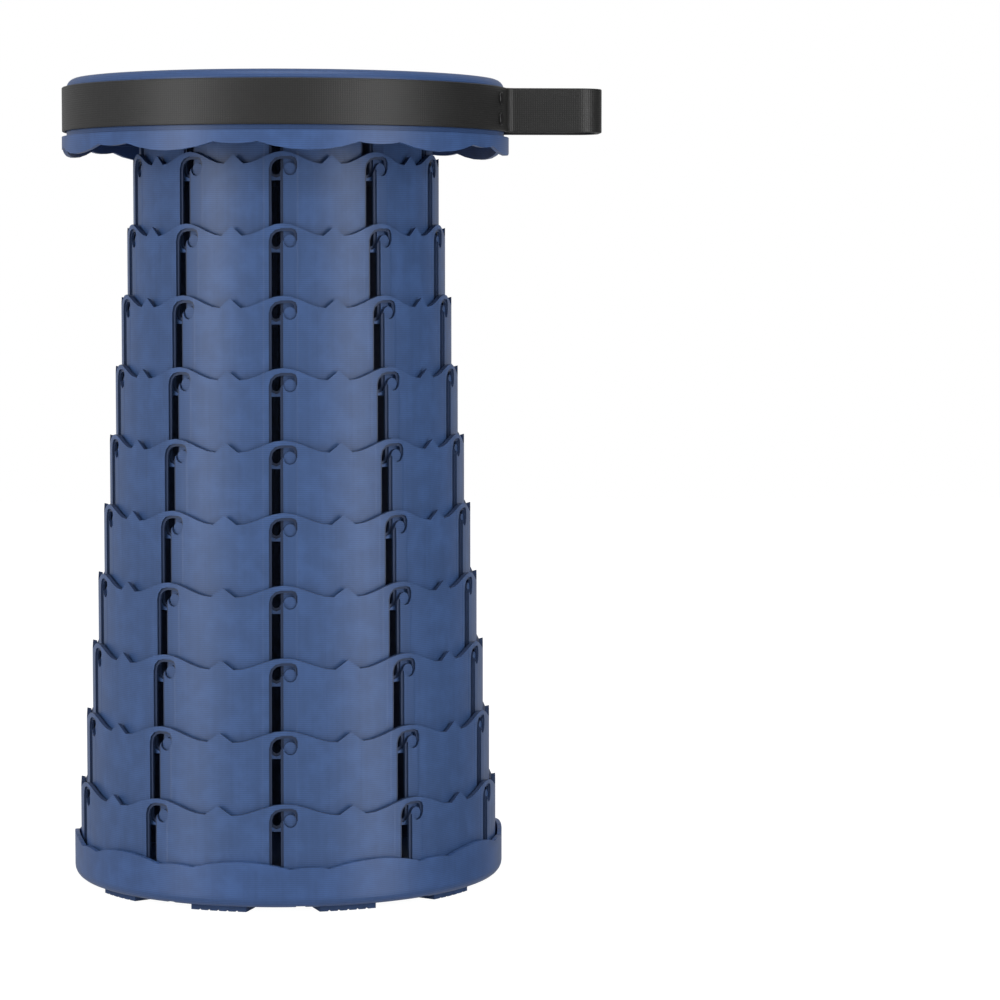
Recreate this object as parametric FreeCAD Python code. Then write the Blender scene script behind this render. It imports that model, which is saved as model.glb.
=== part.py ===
import FreeCAD, Part
import math
import os

from FreeCAD import Vector

# Collapsible telescopic stool, standing open at its full height.
# Millimetres, Z up, origin on the floor under the middle of the base, front towards -Y.
# Angles are turned about Z from the front, positive towards +X, where the carry loop is.

# Stages
SECTORS = 10               # the hooks, studs, waves and feet repeat this often round the axis
RING_COUNT = 10            # rings that show, the lowest one fixed in the base
STAGE_TRAVEL = 38.7        # how far one stage slides in the next
RING_HEIGHT = 54.2         # from the bottom edge to the top of a hump
RING_1_RADIUS = 117.4
RING_WALL = 2.2
RING_GAP = 1.33            # radial gap between neighbouring rings
RING_TURN = 0.045          # degrees by which each ring is turned from the one above it
STACK_CLEARANCE = 0.2      # left under the rings when the stool is folded
DECK_CLEARANCE = 1.1       # left over them, under the deck of the seat

# Wave along the top of a ring
HUMP_ANGLE = -1.4          # middle of the front hump of the highest ring
HUMP_DROP = 6.65           # from a hump down to the dips beside it
DIP_FROM_PEAK = 3.7        # degrees from a peak to the dip beside it
PEAK_DROP = 1.6            # from a hump down to a peak
HUMP_STEPS = 10

# Hooked slots and studs
SLOT_ANGLE = -3.75         # middle of the front slot of the highest ring
SLOT_WIDTH = 4.8           # the slot right through the wall
LEDGE_WIDTH = 1.45         # the step along each side of a slot
LEDGE_DEPTH = 1.0          # how deep that step lies under the outer face
SLOT_END_HEIGHT = 2.8      # from the bottom edge of a ring to the end of its slot
HOOK_OFFSET = 7.55         # from the middle of a slot to the stud in its hook
HOOK_ROOF_RADIUS = 5.35    # inside of the hook, on the slot's side
HOOK_CORNER_RADIUS = 1.6   # inside of the hook, beyond the stud
STUD_HEIGHT = 6.1         # from the bottom edge of a ring to the middle of its studs
STUD_RADIUS = 3.4
STUD_FIT = 0.15            # round a stud in its hook
GUIDE_DEPTH = 0.9          # channel for the studs in the inner face of a ring
GUIDE_FIT = 0.25           # beside and beyond a stud in that channel
STUD_ROOT = 0.8            # how deep a stud is rooted in the wall of its ring
STUD_SIDES = 12
ARC_STEPS = 3              # straight facets for a quarter turn of the hook

# Base
FOOT_HEIGHT = 3.2
BASE_FLOOR = 1.8
BASE_RADIUS = 121.0
BASE_WALL = 2.4
BASE_EDGE_RADIUS = 6.0
RIM_CUSP_HEIGHT = 24.3     # above the ground
RIM_SMALL_BULGE = 1.0
RIM_WIDE_BULGE = 4.0
RIM_SMALL_ANGLE = 5.3      # middle of the front small bulge
RIM_SMALL_HALF = 5.1       # degrees
NOTCH_WIDTH = 6.5
NOTCH_HEIGHT = 0.9
NOTCH_ANGLE = 2.9
FOOT_ANGLE = 16.2
FOOT_HALF = 8.0            # degrees
FOOT_OUTER = 113.5
FOOT_INNER = 100.0
FOOT_RIBS = 6
FOOT_GROOVE = 1.0
SUPPORT_RADIUS = 72.0      # round rib under the floor of the dish
SUPPORT_WALL = 3.0

# Seat
DECK = 2.4
SEAT_WALL_RADIUS = 122.3
SEAT_WALL = 2.4
SEAT_EDGE_RADIUS = 5.6
SEAT_SIDE = 32.2           # from the top down to the step above the skirt
SKIRT_RADIUS = 125.0
SKIRT_WALL = 2.3
SKIRT_CUSP_DROP = 38.2     # from the top down to the cusps of the skirt's lower edge
SKIRT_WIDE_BULGE = 4.5
SKIRT_SMALL_BULGE = 1.2
SKIRT_WIDE_ANGLE = 5.5
SKIRT_WIDE_HALF = 12.6     # degrees
BULGE_STEPS = 6

# Middle of the seat
CAP_RADIUS = 60.3
CAP_GAP = 0.6
CAP_THICKNESS = 3.0
WELL_WALL = 2.0
WELL_DEPTH = 17.0
WELL_FLOOR = 2.0
FINGER_RADIUS = 11.9
FINGER_SPACING = 55.2
FINGER_EDGE = 1.4
CUP_WALL = 1.2
CUP_DEPTH = 12.0
RIB_THICKNESS = 2.0
RIB_DEPTH = 12.0
DISH_LENGTH = 90.0         # shallow oval hollow round both finger holes
DISH_WIDTH = 51.0
DISH_DEPTH = 0.5

# Webbing
WEB_THICKNESS = 2.5
WEB_WIDTH = 24.4
WEB_BELOW_TOP = 5.0
WEB_FIT = 0.05             # between the webbing and the seat
LOOP_REACH = 177.0         # outside of the carry loop, from the axis
LOOP_WIDTH = 44.0
LOOP_CORNER = 14.0
ROOT_RADIUS = 6.0          # where a leg of the loop leaves the seat, on the middle line
SPLICE_LENGTH = 36.0
SPLICE_THICKNESS = 2.0
RIVET_RADIUS = 3.5
RIVET_SHANK = 1.6
RIVET_DOME = 1.3
RIVET_ROUND = 1.0          # rounding of the head's rim
RIVET_FIT = 0.04
RIVET_ANGLE = 19.0         # either side of the middle of the loop
RIVET_SPACING = 11.4

# Worked out from the sizes above
SECTOR = 360.0 / SECTORS
RING_STEP = RING_WALL + RING_GAP
FLOOR_TOP = FOOT_HEIGHT + BASE_FLOOR
DECK_UNDERSIDE = (FLOOR_TOP + RING_HEIGHT + STACK_CLEARANCE + DECK_CLEARANCE
                  + RING_COUNT * STAGE_TRAVEL)
SEAT_TOP = DECK_UNDERSIDE + DECK
STUD_REACH = RING_GAP + GUIDE_DEPTH - GUIDE_FIT
SIDE = 90.0                # angle of the carry loop from the front
MARGIN = 1.0               # how far a cutting shape reaches past what it cuts
AXIS = Vector(0, 0, 1)
ORIGIN = Vector(0, 0, 0)


def turned(shape, degrees):
    """A copy of the shape turned about the stool's axis."""
    copy = shape.copy()
    copy.rotate(ORIGIN, AXIS, degrees)
    return copy


def around(shape, first, step=SECTOR):
    """The shape repeated round the axis, starting at the given angle."""
    return [turned(shape, first + step * i) for i in range(round(360 / step))]


def revolved(outline):
    """A solid of revolution from (radius, height) corners."""
    points = [Vector(r, 0, z) for r, z in outline]
    wire = Part.makePolygon(points + points[:1])
    return Part.Face(wire).revolve(ORIGIN, AXIS, 360)


def tube(outer, wall, bottom, height):
    """A plain ring standing at a height."""
    base = Vector(0, 0, bottom)
    solid = Part.makeCylinder(outer, height, base)
    return solid.cut(Part.makeCylinder(outer - wall, height, base))


def prism(points, near, far):
    """A plate whose (across, height) outline faces the front, between two distances from the axis."""
    corners = [Vector(x, -near, z) for x, z in points]
    face = Part.Face(Part.makePolygon(corners + corners[:1]))
    return face.extrude(Vector(0, near - far, 0))


def arc(centre, radius, start, end, steps):
    """Points along a round stretch, angles in degrees from the across axis."""
    turns = [math.radians(start + (end - start) * i / steps) for i in range(steps + 1)]
    return [(centre[0] + radius * math.cos(t), centre[1] + radius * math.sin(t)) for t in turns]


def ring_radius(number):
    """Outer radius of a ring, counted from the bottom."""
    return RING_1_RADIUS - RING_STEP * (number - 1)


def ring_bottom(number):
    """Height of a ring's bottom edge with the stool open. The lowest ring stands on the floor of the base."""
    lift = STACK_CLEARANCE if number > 1 else 0.0
    return FLOOR_TOP + lift + STAGE_TRAVEL * (number - 1)


def chord(radius, half, wall):
    """How near to the axis a cut of this half angle must start, to pass through the whole wall at its ends."""
    return (radius - wall) * math.cos(math.radians(half)) - MARGIN


def ring_turn(number):
    """How far a ring is turned from the highest one."""
    return RING_TURN * (RING_COUNT - number)


def hook_angle(number):
    """Where the front hook of a ring holds the stud of the next ring up."""
    return SLOT_ANGLE + ring_turn(number) + math.degrees(math.asin(HOOK_OFFSET / ring_radius(number)))


def wave_cutter(number, bottom):
    """What is cut away above one wave of a ring: a rounded hump between two dips, with a peak on each side."""
    radius = ring_radius(number)
    top = bottom + RING_HEIGHT

    def across(degrees):
        return radius * math.sin(math.radians(degrees))

    dip = SECTOR / 2 - DIP_FROM_PEAK
    hump = []
    for i in range(HUMP_STEPS + 1):
        share = 2 * i / HUMP_STEPS - 1
        sink = (1 - math.cos(math.pi * share)) / 2
        hump.append((across(share * dip), top - HUMP_DROP * sink))
    peak = across(SECTOR / 2), top - PEAK_DROP
    outline = [(-peak[0], peak[1])] + hump + [peak]
    outline += [(peak[0], top + MARGIN), (-peak[0], top + MARGIN)]
    return prism(outline, chord(radius, SECTOR / 2, RING_WALL), radius + MARGIN)


def hook_outline(height, end_height, grow):
    """The hooked slot seen from outside, with the stud's place at zero across. grow widens it all round."""
    half = SLOT_WIDTH / 2 + grow
    roof = HOOK_ROOF_RADIUS + grow
    corner = HOOK_CORNER_RADIUS + grow
    left = -HOOK_OFFSET - half
    right = -HOOK_OFFSET + half
    points = arc((left + roof, height), roof, 180, 90, ARC_STEPS)
    points += arc((half - corner, height + roof - corner), corner, 90, 0, ARC_STEPS - 1)
    points += [(half, height), (min(-half, -HOOK_OFFSET / 2), height)]
    if right < -half:
        points += [((right - half) / 2, height + LEDGE_WIDTH / 2)]
    points += [(right, height - LEDGE_WIDTH)]
    points += arc((-HOOK_OFFSET, end_height + SLOT_WIDTH / 2), half, 0, -180, ARC_STEPS + 1)
    return points


def ring(number):
    """A ring with its wave, hooked slots, channels for the studs and, from the second one up, its own studs.
    The neck under the seat is the highest one. It holds no further ring, so it has no channels and no wave."""
    radius = ring_radius(number)
    inner = radius - RING_WALL
    bottom = ring_bottom(number)
    height = RING_HEIGHT if number <= RING_COUNT else DECK_UNDERSIDE - bottom
    body = tube(radius, RING_WALL, bottom, height)
    hook = ring_bottom(number + 1) + STUD_HEIGHT
    slot_end = bottom + SLOT_END_HEIGHT

    through = prism(hook_outline(hook, slot_end, 0.0), inner - MARGIN, radius + MARGIN)
    recess = prism(hook_outline(hook, slot_end, LEDGE_WIDTH), inner - MARGIN, radius + MARGIN)
    recess = recess.cut(Part.makeCylinder(radius - LEDGE_DEPTH, height, Vector(0, 0, bottom)))
    pocket = prism(arc((0, hook), STUD_RADIUS + STUD_FIT, 0, 360, STUD_SIDES)[:-1],
                   inner - MARGIN, radius + MARGIN)
    side = STUD_RADIUS + GUIDE_FIT
    guide = prism([(-side, bottom - MARGIN), (side, bottom - MARGIN), (side, hook), (-side, hook)],
                  inner - MARGIN, inner + GUIDE_DEPTH)
    cuts = around(through, hook_angle(number)) + around(recess, hook_angle(number))
    if number <= RING_COUNT:
        cuts += around(pocket, hook_angle(number)) + around(guide, hook_angle(number))
        cuts += around(wave_cutter(number, bottom), HUMP_ANGLE + ring_turn(number))
    body = body.cut(cuts)
    if number > 1:
        stud = prism(arc((0, bottom + STUD_HEIGHT), STUD_RADIUS, 0, 360, STUD_SIDES)[:-1],
                     radius - STUD_ROOT, radius + STUD_REACH)
        body = body.fuse(around(stud, hook_angle(number - 1)))
    return body


def bulge(radius, half, level, rise):
    """A shallow arch of an edge, as (across, height) points, rising or falling from its two ends."""
    points = []
    for i in range(BULGE_STEPS + 1):
        share = 2 * i / BULGE_STEPS - 1
        across = radius * math.sin(math.radians(share * half))
        points.append((across, level + rise * (1 - share * share)))
    return points


def edge_cutters(radius, wall, small, small_half, level, rises, far):
    """Cuts along a wavy edge: one shape over each small bulge and one over each wide bulge."""
    cuts = []
    turns = (small, small_half, rises[0]), (small + SECTOR / 2, SECTOR / 2 - small_half, rises[1])
    for middle, half, rise in turns:
        outline = bulge(radius, half, level, rise)
        outline += [(outline[-1][0], far), (outline[0][0], far)]
        cuts += around(prism(outline, chord(radius, half, wall), radius + MARGIN), middle)
    return cuts


def base_dish():
    """The shallow dish that the rings fold into: wavy rim, notches in its lower edge, support rib below."""
    rim = RIM_CUSP_HEIGHT + RIM_WIDE_BULGE + MARGIN
    inner = BASE_RADIUS - BASE_WALL
    centre = BASE_RADIUS - BASE_EDGE_RADIUS, FOOT_HEIGHT + BASE_EDGE_RADIUS
    outline = [(0, FOOT_HEIGHT), (SUPPORT_RADIUS - SUPPORT_WALL, FOOT_HEIGHT), (SUPPORT_RADIUS - SUPPORT_WALL, 0),
               (SUPPORT_RADIUS, 0), (SUPPORT_RADIUS, FOOT_HEIGHT)]
    outline += arc(centre, BASE_EDGE_RADIUS, -90, 0, 2 * ARC_STEPS)
    outline += [(BASE_RADIUS, rim), (inner, rim), (inner, FLOOR_TOP), (0, FLOOR_TOP)]
    dish = revolved(outline)
    cuts = edge_cutters(BASE_RADIUS, BASE_WALL, RIM_SMALL_ANGLE, RIM_SMALL_HALF, RIM_CUSP_HEIGHT,
                        (RIM_SMALL_BULGE, RIM_WIDE_BULGE), rim + MARGIN)
    half = NOTCH_WIDTH / 2
    floor = FOOT_HEIGHT - MARGIN
    notch = prism([(-half, floor), (half, floor), (half - NOTCH_HEIGHT, FOOT_HEIGHT + NOTCH_HEIGHT),
                   (NOTCH_HEIGHT - half, FOOT_HEIGHT + NOTCH_HEIGHT)],
                  FOOT_OUTER, BASE_RADIUS)
    return dish.cut(cuts + around(notch, NOTCH_ANGLE))


def base_feet():
    """Curved rubber pads under the dish, each with ribs across its sole."""
    pad = tube(FOOT_OUTER, FOOT_OUTER - FOOT_INNER, 0, FOOT_HEIGHT)
    width = FOOT_OUTER * math.sin(math.radians(FOOT_HALF))
    block = Part.makeBox(2 * width, FOOT_OUTER, FOOT_HEIGHT, Vector(-width, -FOOT_OUTER, 0))
    pad = pad.common(block)
    pitch = 2 * width / FOOT_RIBS
    grooves = []
    for i in range(1, FOOT_RIBS):
        x = -width + pitch * i
        vee = [(x - FOOT_GROOVE, -FOOT_GROOVE / 4), (x + FOOT_GROOVE, -FOOT_GROOVE / 4), (x, FOOT_GROOVE)]
        grooves.append(prism(vee, FOOT_INNER - MARGIN, FOOT_OUTER + MARGIN))
    return Part.makeCompound(around(pad.cut(grooves), FOOT_ANGLE))


def finger_places():
    """Middle of each finger hole."""
    return [Vector(0, side * FINGER_SPACING / 2, 0) for side in (-1, 1)]


def seat_shell():
    """The seat: top deck, side wall, stepped skirt with a wavy edge, and a round well for the cap."""
    well = CAP_RADIUS + CAP_GAP
    floor_top = SEAT_TOP - WELL_DEPTH
    step = SEAT_TOP - SEAT_SIDE
    skirt_inner = SKIRT_RADIUS - SKIRT_WALL
    wall_inner = SEAT_WALL_RADIUS - SEAT_WALL
    low = SEAT_TOP - SKIRT_CUSP_DROP - SKIRT_WIDE_BULGE - MARGIN
    edge = SEAT_WALL_RADIUS - SEAT_EDGE_RADIUS, SEAT_TOP - SEAT_EDGE_RADIUS
    outline = [(0, floor_top), (well, floor_top), (well, SEAT_TOP)]
    outline += arc(edge, SEAT_EDGE_RADIUS, 90, 0, 2 * ARC_STEPS)
    outline += [(SEAT_WALL_RADIUS, step), (SKIRT_RADIUS, step), (SKIRT_RADIUS, low), (skirt_inner, low),
                (skirt_inner, step - SEAT_WALL), (wall_inner, step - SEAT_WALL),
                (wall_inner, DECK_UNDERSIDE - DECK), (wall_inner - DECK, DECK_UNDERSIDE),
                (well + WELL_WALL, DECK_UNDERSIDE), (well + WELL_WALL, floor_top - WELL_FLOOR),
                (0, floor_top - WELL_FLOOR)]
    shell = revolved(outline)
    rib_inner = well + WELL_WALL / 2
    rib_outer = ring_radius(RING_COUNT + 1) - RING_WALL - GUIDE_FIT
    half = RIB_THICKNESS / 2
    rib = prism([(-half, DECK_UNDERSIDE + DECK / 2), (half, DECK_UNDERSIDE + DECK / 2),
                 (half, DECK_UNDERSIDE - RIB_DEPTH), (-half, DECK_UNDERSIDE - RIB_DEPTH)],
                rib_inner, rib_outer)
    shell = shell.fuse(around(rib, HUMP_ANGLE))
    cusp = SEAT_TOP - SKIRT_CUSP_DROP
    small = SKIRT_WIDE_ANGLE + SECTOR / 2
    cuts = edge_cutters(SKIRT_RADIUS, SKIRT_WALL, small, SECTOR / 2 - SKIRT_WIDE_HALF, cusp,
                        (-SKIRT_SMALL_BULGE, -SKIRT_WIDE_BULGE), low - MARGIN)
    cuts += [rivet_hole(SEAT_WALL_RADIUS - SEAT_WALL - MARGIN, place) for place in rivet_places()]
    return shell.cut(cuts)


def rounded_bar(length, width, bottom, height):
    """An upright block with two half-round ends, along Y."""
    half = (length - width) / 2
    block = Part.makeBox(width, 2 * half, height, Vector(-width / 2, -half, bottom))
    ends = [Part.makeCylinder(width / 2, height, Vector(0, y, bottom)) for y in (-half, half)]
    return block.fuse(ends)


def seat_cap():
    """The round plate in the middle of the seat, with a shallow hollow and two finger holes."""
    bottom = SEAT_TOP - CAP_THICKNESS
    cap = revolved([(0, bottom), (CAP_RADIUS, bottom), (CAP_RADIUS, SEAT_TOP - CAP_GAP),
                    (CAP_RADIUS - CAP_GAP, SEAT_TOP), (0, SEAT_TOP)])
    cap = cap.cut(rounded_bar(DISH_LENGTH, DISH_WIDTH, SEAT_TOP - DISH_DEPTH, CAP_THICKNESS))
    edge = SEAT_TOP - DISH_DEPTH
    for place in finger_places():
        hole = Part.makeCylinder(FINGER_RADIUS, CAP_THICKNESS + MARGIN, place + Vector(0, 0, bottom - MARGIN))
        mouth = Part.makeCone(FINGER_RADIUS, FINGER_RADIUS + FINGER_EDGE, FINGER_EDGE,
                              place + Vector(0, 0, edge - FINGER_EDGE))
        cap = cap.cut([hole, mouth])
    return cap


def finger_cups():
    """Two blind cups under the finger holes, standing on the floor of the well."""
    floor = SEAT_TOP - WELL_DEPTH
    top = SEAT_TOP - CAP_THICKNESS
    cups = []
    for place in finger_places():
        outer = Part.makeCylinder(FINGER_RADIUS + CUP_WALL, top - floor, place + Vector(0, 0, floor))
        bore = Part.makeCylinder(FINGER_RADIUS, CUP_DEPTH, place + Vector(0, 0, top - CUP_DEPTH))
        cups.append(outer.cut(bore))
    return Part.makeCompound(cups)


def rivet_places():
    """Angle and height of each rivet: two on each side of the loop."""
    middle = SEAT_TOP - WEB_BELOW_TOP - WEB_WIDTH / 2
    return [(SIDE + side * RIVET_ANGLE, middle + up * RIVET_SPACING / 2)
            for side in (-1, 1) for up in (-1, 1)]


def radial_cylinder(radius, near, far, place):
    """A cylinder pointing away from the axis at an angle and height."""
    angle, height = place
    solid = Part.makeCylinder(radius, far - near, Vector(0, -near, height), Vector(0, -1, 0))
    return turned(solid, angle)


def rivet_hole(near, place):
    """The hole for a rivet's shank through the webbing and the seat wall."""
    return radial_cylinder(RIVET_SHANK + RIVET_FIT, near, SKIRT_RADIUS + WEB_THICKNESS, place)


def web_radii():
    """Inner and outer radius of the webbing where it lies on the seat."""
    inner = SEAT_WALL_RADIUS + WEB_FIT
    return inner, inner + WEB_THICKNESS


def root_turn():
    """Where a leg of the loop leaves the seat: its bend's centre, and its angle from the loop's middle."""
    inner, outer = web_radii()
    middle = (inner + outer) / 2
    across = LOOP_WIDTH / 2 - WEB_THICKNESS / 2 + ROOT_RADIUS
    out = math.sqrt((middle + ROOT_RADIUS) ** 2 - across ** 2)
    return out, across, math.degrees(math.atan2(across, out))


def strap_band():
    """The webbing that lies round the seat's edge, open between the legs of the carry loop."""
    inner, outer = web_radii()
    bottom = SEAT_TOP - WEB_BELOW_TOP - WEB_WIDTH
    angle = root_turn()[2]
    corners = [Vector(inner, 0, bottom), Vector(outer, 0, bottom), Vector(outer, 0, bottom + WEB_WIDTH),
               Vector(inner, 0, bottom + WEB_WIDTH)]
    band = Part.Face(Part.makePolygon(corners + corners[:1])).revolve(ORIGIN, AXIS, 360 - 2 * angle)
    band = turned(band, angle)
    return band.cut([rivet_hole(inner - WEB_FIT / 2, place) for place in rivet_places()])


def loop_edge(offset, side):
    """Half of the carry loop's outline on one side, moved out from its middle line, and its two ends."""
    out, across, angle = root_turn()
    root = ROOT_RADIUS - offset
    reach = LOOP_REACH - WEB_THICKNESS / 2 + offset
    leg = LOOP_WIDTH / 2 - WEB_THICKNESS / 2 + offset
    corner = LOOP_CORNER - WEB_THICKNESS / 2 + offset

    def bend(centre, radius, start, end):
        turns = [math.radians(turn) for turn in (start, (start + end) / 2, end)]
        points = [Vector(centre[0] + radius * math.cos(turn), side * (centre[1] + radius * math.sin(turn)), 0)
                  for turn in turns]
        return Part.Arc(*points).toShape(), points[0], points[2]

    first, start, leg_start = bend((out, across), root, angle + 180, 270)
    last, leg_end, end = bend((reach - corner, leg - corner), corner, 90, 0)
    return [first, Part.makeLine(leg_start, leg_end), last], start, end


def strap_handle():
    """The carry loop, which leaves the seat in two tangent bends and stands out to one side."""
    edges = []
    faces = -WEB_THICKNESS / 2, WEB_THICKNESS / 2
    halves = {(face, side): loop_edge(face, side) for face in faces for side in (-1, 1)}
    for half_edges, start, end in halves.values():
        edges += half_edges
    for side in (-1, 1):
        edges.append(Part.makeLine(halves[faces[0], side][1], halves[faces[1], side][1]))
    for face in faces:
        edges.append(Part.makeLine(halves[face, -1][2], halves[face, 1][2]))
    wire = Part.Wire(Part.__sortEdges__(edges))
    loop = Part.Face(wire).extrude(Vector(0, 0, WEB_WIDTH))
    loop.translate(Vector(0, 0, SEAT_TOP - WEB_BELOW_TOP - WEB_WIDTH))
    return loop


def strap_splice():
    """The short overlap that closes the webbing, on the far side of the seat from the front."""
    outer = web_radii()[1] + WEB_FIT
    bottom = SEAT_TOP - WEB_BELOW_TOP - WEB_WIDTH
    patch = tube(outer + SPLICE_THICKNESS, SPLICE_THICKNESS, bottom, WEB_WIDTH)
    half = SPLICE_LENGTH / 2
    return patch.common(Part.makeBox(SPLICE_LENGTH, 2 * outer, WEB_WIDTH, Vector(-half, 0, bottom)))


def strap_rivets():
    """Domed rivets that hold the webbing to the seat wall, two on each side of the loop."""
    inner, outer = web_radii()
    rivets = []
    for place in rivet_places():
        shank = radial_cylinder(RIVET_SHANK, SEAT_WALL_RADIUS - SEAT_WALL, outer + RIVET_DOME / 2, place)
        head = radial_cylinder(RIVET_RADIUS, outer, outer + RIVET_DOME, place)
        far = max(head.Edges, key=lambda edge: math.hypot(edge.CenterOfMass.x, edge.CenterOfMass.y))
        rivets.append(head.makeFillet(RIVET_ROUND, [far]).fuse(shank))
    return Part.makeCompound(rivets)


def save(name, shape):
    """Write one sub-part, after joining faces that lie on the same surface."""
    shape = shape.removeSplitter()
    if not shape.isValid():
        raise ValueError(name + " isn't a valid shape")
    shape.exportStep(os.path.join("parts", name + ".step"))


def main():
    os.makedirs("parts", exist_ok=True)
    save("base_dish", base_dish())
    save("base_feet", base_feet())
    for number in range(1, RING_COUNT + 1):
        save("ring_" + str(number), ring(number))
    save("seat_neck", ring(RING_COUNT + 1))
    save("seat_shell", seat_shell())
    save("seat_cap", seat_cap())
    save("finger_cups", finger_cups())
    save("strap_band", strap_band())
    save("strap_handle", strap_handle())
    save("strap_splice", strap_splice())
    save("strap_rivets", strap_rivets())


main()
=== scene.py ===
import math

import bpy
import numpy as np
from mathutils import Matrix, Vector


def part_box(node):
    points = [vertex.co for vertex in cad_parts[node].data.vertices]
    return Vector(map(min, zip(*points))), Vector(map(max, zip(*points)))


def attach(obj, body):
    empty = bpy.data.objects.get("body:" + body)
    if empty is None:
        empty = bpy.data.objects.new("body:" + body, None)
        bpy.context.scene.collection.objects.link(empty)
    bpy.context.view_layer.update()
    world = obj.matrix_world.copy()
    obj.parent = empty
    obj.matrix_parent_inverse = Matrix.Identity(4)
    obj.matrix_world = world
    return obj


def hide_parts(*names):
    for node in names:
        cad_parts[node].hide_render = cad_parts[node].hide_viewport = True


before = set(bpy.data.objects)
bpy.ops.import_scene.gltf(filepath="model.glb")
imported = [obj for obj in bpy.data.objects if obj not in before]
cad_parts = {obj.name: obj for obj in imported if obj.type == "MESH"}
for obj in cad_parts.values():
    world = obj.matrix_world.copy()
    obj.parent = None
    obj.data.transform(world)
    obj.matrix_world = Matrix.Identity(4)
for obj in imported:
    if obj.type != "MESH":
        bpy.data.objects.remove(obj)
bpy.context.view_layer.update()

MM = 0.001

# Camera, fitted to the outlines of the rings and the seat
CAMERA_DISTANCE = 1.907
CAMERA_HEIGHT = 0.3487
CAMERA_YAW = 3.61             # degrees, turned to the right of the stool
CAMERA_PITCH = 4.05           # degrees, looking down
CAMERA_LENS = 121.4
CAMERA_SENSOR = 36.0

# Studio
ROOM_LIGHT = 0.43
ROOM_SHADE = 0.08             # the side towards the loop is darker
ROOM_SHADE_START = 0.45       # where that darkening starts and ends across the room
ROOM_SHADE_END = 0.9
FLOOR_HALF = 3.0
FLOOR_WHITE = (0.93, 0.93, 0.93)
FLOOR_ROUGH = 0.9
FLOOR_GLOW = 1.22
FLOOR_SHARE = 0.8             # how much of the floor's own white the camera sees; the rest takes shadows
STOOL_MIDDLE = 0.25           # the height that the lamps face
LAMPS = (                     # name, degrees from the front, distance, height, size, power
    ("left_box", -53, 2.0, 0.15, (0.75, 2.8), 28.0),
    ("right_box", 47, 2.0, 0.15, (0.95, 2.8), 29.5),
    ("top_box", 10, 0.5, 2.2, (1.2, 1.2), 9.0),
)

# Rings
RING_COUNT = 10
RING_RADIUS = 117.4 * MM      # outside of the lowest one
RING_STEP = 3.53 * MM         # from one ring to the next
LEDGE_TOP = 0.3 * MM          # painted shade on the sunken step round a slot starts at this depth
LEDGE_FLOOR = 0.8 * MM
# painted shade on the rings: how strongly the sunken step round a slot, then the faces that look up, down,
# sideways or inwards, are darkened
LEDGE_PAINTED_SHADE = 0.8
EDGE_PAINTED_SHADE = 0.75

# Faint upright edges of the flats round the slots
SECTORS = 10
SLOT_ANGLE = -3.85            # degrees, middle of the front slot, one value for all rings
CREASE_LEFT = 6.4 * MM        # from a slot to the edge on each side
CREASE_RIGHT = 11.8 * MM
CREASE_BLUR = 0.6 * MM
CREASE_DEPTH = 0.16 * MM

# Moulded plastic
MOTTLE_SCALE = 26.0
STREAK_SCALE = (420.0, 420.0, 9.0)
STREAK_DEPTH = 0.05 * MM
GRAIN_SCALE = 2600.0
GRAIN_DEPTH = 0.04 * MM
LINE_PITCH = 1.05 * MM        # faint level lines left by the mould on the outer walls
LINE_PATCHES = 14.0           # scale of the noise that fades them in and out
LINE_DARK = 0.55
# how much lighter the convex edges of the plastic are made
CONVEX_EDGE_LIGHTENING = 0.35
SATIN = 0.40
PLASTIC_SHINE = 0.42

# Cap of the seat
CAP_ARC_RADIUS = 42.0 * MM    # two shallow arcs across the cap, with their middles out towards +X and -X
CAP_ARC_CENTRE = 73.0 * MM
CAP_ARC_BLUR = 0.5 * MM
CAP_ARC_DEPTH = 0.3 * MM
CAP_RIM_RADIUS = 57.6 * MM    # fine groove inside the cap's edge
CAP_RIM_WIDTH = 0.7 * MM
CAP_RIM_DEPTH = 0.25 * MM

# Rubber pads and black plastic
DUST_SCALE = 60.0
RUBBER_ROUGH = 0.72
RUBBER_SHINE = 0.25
CUP_ROUGH = 0.5
RIVET_ROUGH = 0.35

# Webbing
WEB_THICKNESS = 2.5 * MM
WEB_FIT = 0.05 * MM           # between the band and the end that laps over it
WEB_EDGE = 0.55 * MM          # rounding of the selvedge
WEB_PICK = 1.25 * MM          # one weft rib
WEB_END = 1.15 * MM           # one warp column
WEB_DEPTH = 0.22 * MM
FUZZ_SCALE = 2600.0
FUZZ_DEPTH = 0.05 * MM
WEB_ROUGH = 0.46
WEB_SHINE = 0.47
LOOP_HALF_WIDTH = 22.0 * MM   # outside of the carry loop
LOOP_CORNER = 12.75 * MM
ROOT_BEND = 6.0 * MM
BAND_POINTS = 900
BEND_POINTS = 16
LEG_POINTS = 40
CORNER_POINTS = 26
END_POINTS = 12
LAP_POINTS = 40

# Colours as sRGB, the way they look under plain light
RING_BLUE = (0.245, 0.352, 0.540)
# painted shade colour that the sunken steps and edges of the rings are darkened towards, not a colour of the
# plastic
LEDGE_PAINTED_SHADE_BLUE = (0.175, 0.220, 0.320)
SEAT_BLUE = (0.240, 0.352, 0.550)
BASE_BLUE = (0.240, 0.352, 0.550)
FOOT_BLUE = (0.235, 0.315, 0.465)
WEB_GREY = (0.150, 0.150, 0.149)
BLACK = (0.055, 0.055, 0.060)


def linear(colour):
    """The linear RGBA of an sRGB colour."""
    c = np.asarray(colour, float)
    low, high = c / 12.92, ((c + 0.055) / 1.055) ** 2.4
    return (*np.where(c <= 0.04045, low, high).tolist(), 1.0)


def shade(colour, factor):
    """The same colour, lighter or darker."""
    return tuple(min(1.0, c * factor) for c in colour)


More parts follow.
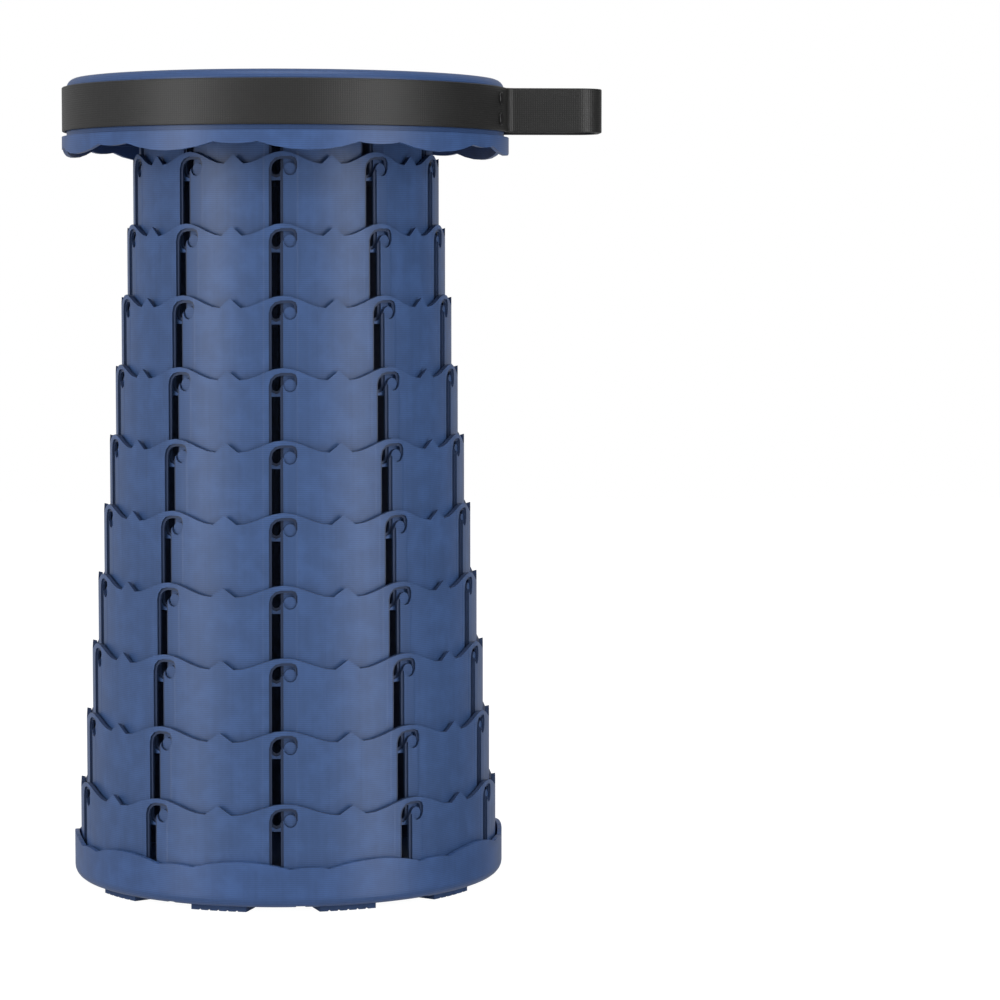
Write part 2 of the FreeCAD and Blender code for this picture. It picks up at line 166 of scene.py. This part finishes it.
class Value:
    """A shader socket that can be used in arithmetic: each operator adds a Math node."""

    def __init__(self, made, socket):
        self.made, self.socket = made, socket

    def of(self, operation, *others):
        """A Math operation by name, such as SINE, on this value and any others."""
        return self.made.node("ShaderNodeMath", {"operation": operation}, dict(enumerate((self, *others))))

    def __add__(self, other):
        return self.of("ADD", other)

    def __sub__(self, other):
        return self.of("SUBTRACT", other)

    def __mul__(self, other):
        return self.of("MULTIPLY", other)

    def __truediv__(self, other):
        return self.of("DIVIDE", other)

    def __pow__(self, other):
        return self.of("POWER", other)

    def __radd__(self, other):
        return self + other

    def __rmul__(self, other):
        return self * other

    def __rsub__(self, other):
        return self * -1.0 + other

    def __neg__(self):
        return self * -1.0

    def clamp(self):
        return self.of("MAXIMUM", 0.0).of("MINIMUM", 1.0)

    def smooth(self, low, high):
        """0 under low, 1 over high, and a smooth step between."""
        return self.made.node("ShaderNodeMapRange", {"interpolation_type": "SMOOTHSTEP"},
                              {"Value": self, "From Min": low, "From Max": high})


class Made:
    """A material under construction, with one method that makes any node."""

    def __init__(self, name):
        self.material = bpy.data.materials.new(name)
        self.material.use_nodes = True
        self.tree = self.material.node_tree
        self.shader = self.tree.nodes["Principled BSDF"]

    def node(self, kind, settings=None, inputs=None, output=0):
        made = self.tree.nodes.new(kind)
        for name, value in (settings or {}).items():
            setattr(made, name, value)
        for key, value in (inputs or {}).items():
            self.feed(made.inputs[key], value)
        return Value(self, made.outputs[output])

    def feed(self, socket, value):
        if isinstance(value, Value):
            self.tree.links.new(value.socket, socket)
        else:
            socket.default_value = value

    def place(self):
        """Object coordinates."""
        return self.node("ShaderNodeTexCoord", output="Object")

    def uv(self):
        """Strip coordinates of a piece of webbing."""
        return self.node("ShaderNodeUVMap", {"uv_map": "strip"})

    def parts(self, vector):
        """The three components of a vector."""
        split = self.node("ShaderNodeSeparateXYZ", inputs={0: vector})
        return [Value(self, out) for out in split.socket.node.outputs]

    def noise(self, vector, scale, detail=2.0, roughness=0.5):
        return self.node("ShaderNodeTexNoise", inputs={"Vector": vector, "Scale": scale, "Detail": detail,
                                                       "Roughness": roughness})

    def stretched(self, vector, scale):
        """The vector scaled along each axis, for streaks."""
        return self.node("ShaderNodeVectorMath", {"operation": "MULTIPLY"}, {0: vector, 1: scale})

    def mix(self, factor, low, high):
        """A colour between two colours."""
        return self.node("ShaderNodeMix", {"data_type": "RGBA"}, {0: factor, 6: low, 7: high}, output=2)

    def bump(self, height, distance, strength=1.0, under=None):
        """A normal from a height, laid over another normal if there is one."""
        inputs = {"Height": height, "Distance": distance, "Strength": strength}
        if under is not None:
            inputs["Normal"] = under
        return self.node("ShaderNodeBump", inputs=inputs)

    def finish(self, shine=None, **sockets):
        """Feed the shader's sockets. shine is its even specular level."""
        if shine is not None:
            self.shader.inputs["Specular IOR Level"].default_value = shine
        for name, value in sockets.items():
            self.feed(self.shader.inputs[name.replace("_", " ")], value)
        return self.material


def lighter_convex_edges(made, vector):
    """A mask of convex edges, where moulded plastic is made lighter, broken up by noise."""
    point = made.node("ShaderNodeNewGeometry", output="Pointiness")
    return point.smooth(0.515, 0.56) * made.noise(vector, 90.0, 3.0).smooth(0.35, 0.75)


def ring_painted_shade(made, x, y, radius):
    """How much painted shade a face of a ring gets: 0 on the outer wall, more on the sunken step round a slot,
    and on edges, which look up, down, sideways or inwards."""
    reach = (x * x + y * y) ** 0.5
    nx, ny, _ = made.parts(made.node("ShaderNodeNewGeometry", output="Normal"))
    facing = (nx * x + ny * y) / reach
    ledge_painted_shade = (radius - reach).smooth(LEDGE_TOP, LEDGE_FLOOR) * facing.smooth(0.75, 0.95) * LEDGE_PAINTED_SHADE
    return ledge_painted_shade.of("MAXIMUM", (1.0 - facing.smooth(0.2, 0.8)) * EDGE_PAINTED_SHADE)


def crease_normal(made, x, y, radius, normal):
    """The two faint upright edges beside each slot, as steps of height round the ring, over another normal."""
    sector = math.tau / SECTORS
    turn = x.of("ARCTAN2", -y)
    for offset, side in ((-CREASE_LEFT, 1), (CREASE_RIGHT, -1)):
        start = math.radians(SLOT_ANGLE) + offset / radius
        away = (turn - (start - sector / 2)).of("WRAP", sector, 0.0) - sector / 2
        step = (away * side * radius).smooth(-CREASE_BLUR, CREASE_BLUR)
        normal = made.bump(step, CREASE_DEPTH, 0.8, normal)
    return normal


def plastic(name, colour, ring=0.0, relief=None):
    """Satin moulded plastic: faint mottling, fine grain, upright drawing streaks, level lines and lighter convex
    edges.
    ring is the radius of a ring, whose sunken steps and edges get painted shade and whose flats round the slots
    show as two faint upright edges. relief gives a height, in metres, for any further shallow shape."""
    made = Made(name)
    where = made.place()
    x, y, z = made.parts(where)
    mottle = made.noise(where, MOTTLE_SCALE, 4.0, 0.55)
    streaks = made.noise(made.stretched(where, STREAK_SCALE), 1.0, 2.0)
    grain = made.noise(where, GRAIN_SCALE, 2.0, 0.6)

    tone = (mottle * 0.25 + streaks * 0.75).smooth(0.34, 0.66)
    base = made.mix(tone, linear(shade(colour, 0.98)), linear(shade(colour, 1.025)))
    # convex edges made lighter, broken up by noise
    base = made.mix(lighter_convex_edges(made, where) * CONVEX_EDGE_LIGHTENING, base, linear(shade(colour, 1.32)))
    lines = (z / LINE_PITCH * math.tau).of("SINE") * 0.5 + 0.5
    patches = made.noise(where, LINE_PATCHES, 2.0).smooth(0.1, 0.5)
    base = made.mix(lines * patches * LINE_DARK, base, linear(shade(colour, 0.82)))

    normal = made.bump(grain, GRAIN_DEPTH, 0.5)
    normal = made.bump(streaks, STREAK_DEPTH, 0.35, normal)
    if ring:
        # painted shade on the sunken steps round the slots and on the ring's edges
        base = made.mix(ring_painted_shade(made, x, y, ring), base, linear(LEDGE_PAINTED_SHADE_BLUE))
        normal = crease_normal(made, x, y, ring, normal)
    if relief:
        normal = made.bump(relief(x, y), 1.0, 1.0, normal)
    rough = SATIN + (mottle - 0.5) * 0.03 + (grain - 0.5) * 0.06
    return made.finish(PLASTIC_SHINE, Base_Color=base, Roughness=rough, Normal=normal)


def cap_relief(x, y):
    """Height of the two arcs and of the fine groove on the cap."""
    def far(centre):
        return ((x - centre) ** 2.0 + y ** 2.0) ** 0.5

    def arc(side):
        return (far(side * CAP_ARC_CENTRE) - CAP_ARC_RADIUS).smooth(-CAP_ARC_BLUR, CAP_ARC_BLUR) * CAP_ARC_DEPTH

    groove = (1.0 - (far(0.0) - CAP_RIM_RADIUS).of("ABSOLUTE").smooth(0.0, CAP_RIM_WIDTH)) * -CAP_RIM_DEPTH
    return arc(-1) + arc(1) + groove


def rubber(name, colour):
    """Matt rubber with a dusty, slightly scuffed face."""
    made = Made(name)
    where = made.place()
    dust = made.noise(where, DUST_SCALE, 5.0, 0.65)
    base = made.mix(dust.smooth(0.45, 0.75), linear(colour), linear(shade(colour, 1.16)))
    normal = made.bump(made.noise(where, 1800.0, 2.0), 0.06 * MM, 0.6)
    rough = RUBBER_ROUGH + (dust - 0.5) * 0.16
    return made.finish(RUBBER_SHINE, Base_Color=base, Roughness=rough, Normal=normal)


def black_plastic(name, roughness):
    """Dark moulded plastic or enamel with a fine grain."""
    made = Made(name)
    where = made.place()
    mottle = made.noise(where, 150.0, 3.0)
    base = made.mix(mottle, linear(shade(BLACK, 0.8)), linear(shade(BLACK, 1.25)))
    normal = made.bump(made.noise(where, 1500.0, 2.0), GRAIN_DEPTH, 0.5)
    return made.finish(Base_Color=base, Roughness=roughness + (mottle - 0.5) * 0.1, Normal=normal)


def weave(name, colour):
    """Plain woven webbing in strip coordinates, metres along and across: a fine grid of weft ribs and warp
    columns, with painted shade in the gaps between threads and the thread crowns painted lighter."""
    made = Made(name)
    along, across, _ = made.parts(made.uv())
    rib = (along / WEB_PICK).of("FRACT")
    column = (across / WEB_END).of("FRACT")
    crown = (rib * math.pi).of("SINE") * (column * math.pi).of("SINE")
    crown = crown.of("MAXIMUM", 0.0) ** 0.6
    fuzz = made.noise(made.uv(), FUZZ_SCALE, 3.0, 0.7)
    cast = made.noise(made.uv(), 55.0, 3.0)
    # crown paints the gaps between threads darker, as painted shade, and the crowns lighter, as painted light;
    # fuzz and cast are random tone
    tone = (crown * 0.75 + fuzz * 0.25 + (cast - 0.5) * 0.35).clamp()
    base = made.mix(tone, linear(shade(colour, 0.66)), linear(shade(colour, 1.16)))
    normal = made.bump(crown, WEB_DEPTH, 0.4)
    normal = made.bump(fuzz, FUZZ_DEPTH, 0.4, normal)
    return made.finish(WEB_SHINE, Base_Color=base, Roughness=WEB_ROUGH - crown * 0.1, Normal=normal)


def grid_mesh(name, points, uvs=None, closed_u=False, closed_v=False, material=None):
    """A mesh from a grid of points, shape (u, v, 3), joined into quads along both directions."""
    nu, nv = points.shape[:2]
    i = np.arange(nu if closed_u else nu - 1)
    j = np.arange(nv if closed_v else nv - 1)
    i, j = np.meshgrid(i, j, indexing="ij")
    i2, j2 = (i + 1) % nu, (j + 1) % nv
    faces = np.stack([i * nv + j, i2 * nv + j, i2 * nv + j2, i * nv + j2], axis=-1).reshape(-1, 4)
    mesh = bpy.data.meshes.new(name)
    mesh.vertices.add(nu * nv)
    mesh.vertices.foreach_set("co", points.reshape(-1).astype(np.float32))
    mesh.loops.add(faces.size)
    mesh.loops.foreach_set("vertex_index", faces.reshape(-1).astype(np.int32))
    mesh.polygons.add(len(faces))
    mesh.polygons.foreach_set("loop_start", (np.arange(len(faces)) * 4).astype(np.int32))
    mesh.update(calc_edges=True)
    if uvs is not None:
        u, v = uvs
        u_next = np.append(u[1:], 2 * u[-1] - u[-2])
        v_next = np.append(v[1:], 2 * v[-1] - v[-2])
        corner_u = np.stack([u[i], u_next[i], u_next[i], u[i]], axis=-1)
        corner_v = np.stack([v[j], v[j], v_next[j], v_next[j]], axis=-1)
        layer = mesh.uv_layers.new(name="strip")
        layer.data.foreach_set("uv", np.stack([corner_u, corner_v], axis=-1).reshape(-1).astype(np.float32))
    mesh.polygons.foreach_set("use_smooth", np.ones(len(faces), bool))
    mesh.validate()
    if material:
        mesh.materials.append(material)
    piece = bpy.data.objects.new(name, mesh)
    bpy.context.scene.collection.objects.link(piece)
    return piece


def arc_points(centre, radius, start, end, count):
    """Points and outward unit normals along an arc in plan."""
    t = np.linspace(start, end, count)
    out = np.stack([np.cos(t), np.sin(t)], axis=-1)
    return np.asarray(centre) + radius * out, out


def web_path(radius, leg, reach):
    """The middle line of the whole strap in plan, and its outward normals: round the seat, out along one leg,
    across the end of the loop and back along the other leg. Each stretch is a line or a tangent arc."""
    across = leg + ROOT_BEND
    out = math.sqrt((radius + ROOT_BEND) ** 2 - across ** 2)
    root = math.atan2(across, out)
    seat, seat_n = arc_points((0, 0), radius, root, math.tau - root, BAND_POINTS)
    low, low_n = arc_points((out, -across), ROOT_BEND, math.pi - root, math.pi / 2, BEND_POINTS)
    corner = reach - LOOP_CORNER
    straight = np.linspace(0, 1, LEG_POINTS)[1:-1, None]
    leg_low = np.array([out, -leg]) * (1 - straight) + np.array([corner, -leg]) * straight
    leg_low_n = np.tile([0.0, -1.0], (len(straight), 1))
    turn, turn_n = arc_points((corner, -leg + LOOP_CORNER), LOOP_CORNER, -math.pi / 2, 0, CORNER_POINTS)
    end = np.linspace(-leg + LOOP_CORNER, 0, END_POINTS)[1:, None]
    end = np.concatenate([np.full_like(end, reach), end], axis=1)
    end_n = np.tile([1.0, 0.0], (len(end), 1))
    half = np.concatenate([low, leg_low, turn, end])
    half_n = np.concatenate([-low_n, leg_low_n, turn_n, end_n])
    back = half[-2::-1] * [1, -1]
    back_n = half_n[-2::-1] * [1, -1]
    path = np.concatenate([seat, half[1:], back[:-1]])
    normal = np.concatenate([seat_n, half_n[1:], back_n[:-1]])
    return path, normal


def strip_section(thickness, width, columns=24, bend=4):
    """Outward and upward offsets round the strip's cross section: a thin rectangle with rounded edges."""
    t = np.linspace(0, math.pi / 2, bend)
    a, b = thickness / 2 - WEB_EDGE, width / 2 - WEB_EDGE
    up = np.linspace(-b, b, columns)[1:-1]
    face = np.full(columns - 2, thickness / 2)
    near, far = WEB_EDGE * np.cos(t), WEB_EDGE * np.sin(t)
    out = np.concatenate([face, a + near, -a - far, -face, -a - near, a + far])
    ups = np.concatenate([up, b + far, b + near, up[::-1], -b - far, -b - near])
    return out, ups


def strip(name, path, normal, thickness, low, high, closed):
    """A strip of webbing that stands on edge along a path in plan, between two heights. An open one gets flat
    ends."""
    out, up = strip_section(thickness, high - low)
    points = np.empty((len(path), len(out), 3))
    points[..., :2] = path[:, None] + normal[:, None] * out[None, :, None]
    points[..., 2] = (low + high) / 2 + up[None]
    along = np.concatenate([[0], np.cumsum(np.linalg.norm(np.diff(path, axis=0), axis=1))])
    if not closed:
        ends = points[[0, -1]].mean(axis=1, keepdims=True).repeat(len(out), axis=1)
        points = np.concatenate([ends[:1], points, ends[1:]])
        along = np.concatenate([[-thickness / 2], along, [along[-1] + thickness / 2]])
    around = np.concatenate([[0], np.cumsum(np.hypot(np.diff(out), np.diff(up)))])
    return grid_mesh(name, points, (along, around), closed, True, weave(name + "_weave", WEB_GREY))


def strap():
    """The webbing band and its carry loop, one unbroken strip round the seat and out to the side."""
    low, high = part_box("strap_band")
    _, handle_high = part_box("strap_handle")
    half = WEB_THICKNESS / 2
    path, normal = web_path(-low[0] - half, LOOP_HALF_WIDTH - half, handle_high[0] - half)
    return strip("webbing", path, normal, WEB_THICKNESS, low[2], high[2], True)


def splice():
    """The free end of the webbing, which laps over the band behind the seat."""
    low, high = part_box("strap_splice")
    band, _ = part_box("strap_band")
    inner, outer = -band[0] + WEB_FIT, high[1]
    half = math.asin(high[0] / outer)
    path, normal = arc_points((0, 0), (inner + outer) / 2, math.pi / 2 - half, math.pi / 2 + half, LAP_POINTS)
    return strip("webbing_splice", path, normal, outer - inner, low[2], high[2], False)


def camera():
    """A long lens at the photograph's viewing angle."""
    data = bpy.data.cameras.new("camera")
    data.lens, data.sensor_width = CAMERA_LENS, CAMERA_SENSOR
    obj = bpy.data.objects.new("camera", data)
    obj.location = (0, -CAMERA_DISTANCE, CAMERA_HEIGHT)
    obj.rotation_euler = (math.radians(90 - CAMERA_PITCH), 0, math.radians(-CAMERA_YAW))
    bpy.context.scene.collection.objects.link(obj)
    bpy.context.scene.camera = obj


def softbox(name, turn, far, height, size, power):
    """A large soft lamp at an angle from the front, positive towards +X, that faces the stool's axis."""
    data = bpy.data.lights.new(name, "AREA")
    data.shape, data.energy = "RECTANGLE", power
    data.size, data.size_y = size
    obj = bpy.data.objects.new(name, data)
    angle = math.radians(turn)
    drop = math.atan2(height - STOOL_MIDDLE, far)
    obj.location = (math.sin(angle) * far, -math.cos(angle) * far, height)
    obj.rotation_euler = (math.pi / 2 - drop, 0, angle)
    bpy.context.scene.collection.objects.link(obj)


def white_to_camera(tree, seen, unseen, share, output):
    """Shows the camera one shader, or a share of it, and every other ray another."""
    ray = tree.nodes.new("ShaderNodeLightPath")
    factor = tree.nodes.new("ShaderNodeMath")
    factor.operation = "MULTIPLY"
    factor.inputs[1].default_value = share
    mix = tree.nodes.new("ShaderNodeMixShader")
    tree.links.new(ray.outputs["Is Camera Ray"], factor.inputs[0])
    tree.links.new(factor.outputs[0], mix.inputs[0])
    tree.links.new(unseen, mix.inputs[1])
    tree.links.new(seen, mix.inputs[2])
    tree.links.new(mix.outputs[0], output)


def paper_floor():
    """A pale floor that looks almost white to the camera and isn't mirrored in the stool."""
    side = np.array([-FLOOR_HALF, FLOOR_HALF])
    x, y = np.meshgrid(side, side, indexing="ij")
    floor = grid_mesh("floor", np.stack([x, y, np.zeros_like(x)], -1))
    made = Made("floor_paper")
    made.finish(Base_Color=linear(FLOOR_WHITE), Roughness=FLOOR_ROUGH)
    paper = made.tree.nodes.new("ShaderNodeEmission")
    paper.inputs["Strength"].default_value = FLOOR_GLOW
    white_to_camera(made.tree, paper.outputs[0], made.shader.outputs[0], FLOOR_SHARE,
                    made.tree.nodes["Material Output"].inputs["Surface"])
    floor.data.materials.append(made.material)
    floor.visible_glossy = False


def white_room():
    """A room that lights the stool less from the side of the loop, with a white backdrop for the camera."""
    world = bpy.data.worlds.new("studio")
    world.use_nodes = True
    bpy.context.scene.world = world
    tree = world.node_tree
    room = tree.nodes["Background"]
    room.inputs["Color"].default_value = (1, 1, 1, 1)
    way = tree.nodes.new("ShaderNodeSeparateXYZ")
    tree.links.new(tree.nodes.new("ShaderNodeTexCoord").outputs["Generated"], way.inputs[0])
    dim = tree.nodes.new("ShaderNodeMapRange")
    dim.interpolation_type = "SMOOTHSTEP"
    for name, value in (("From Min", ROOM_SHADE_START), ("From Max", ROOM_SHADE_END),
                        ("To Min", ROOM_LIGHT), ("To Max", ROOM_SHADE)):
        dim.inputs[name].default_value = value
    tree.links.new(way.outputs[0], dim.inputs["Value"])
    tree.links.new(dim.outputs[0], room.inputs["Strength"])
    backdrop = tree.nodes.new("ShaderNodeBackground")
    backdrop.inputs["Color"].default_value = (1, 1, 1, 1)
    white_to_camera(tree, backdrop.outputs[0], room.outputs[0], 1.0,
                    tree.nodes["World Output"].inputs["Surface"])


def node_material(name, rings):
    """The material of one carried-over node."""
    if name in rings:
        return plastic(name + "_plastic", RING_BLUE, RING_RADIUS - RING_STEP * rings.index(name))
    if name == "base_dish":
        return plastic("base_plastic", BASE_BLUE)
    if name == "seat_shell":
        return plastic("seat_shell_plastic", SEAT_BLUE)
    if name == "seat_cap":
        return plastic("seat_cap_plastic", SEAT_BLUE, relief=cap_relief)
    if name == "base_feet":
        return rubber("foot_rubber", FOOT_BLUE)
    if name == "finger_cups":
        return black_plastic("cup_plastic", CUP_ROUGH)
    return black_plastic(name + "_black", RIVET_ROUGH)


def dress():
    """Give every carried-over node its material."""
    rings = ["ring_%d" % (i + 1) for i in range(RING_COUNT)] + ["seat_neck"]
    for name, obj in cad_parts.items():
        obj.data.materials.clear()
        obj.data.materials.append(node_material(name, rings))


camera()
paper_floor()
white_room()
for lamp in LAMPS:
    softbox(*lamp)
dress()
webbing = strap()
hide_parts("strap_band", "strap_handle")
lap = splice()
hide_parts("strap_splice")
for piece in (webbing, lap):
    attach(piece, "seat")

bpy.context.scene.view_settings.view_transform = "Standard"
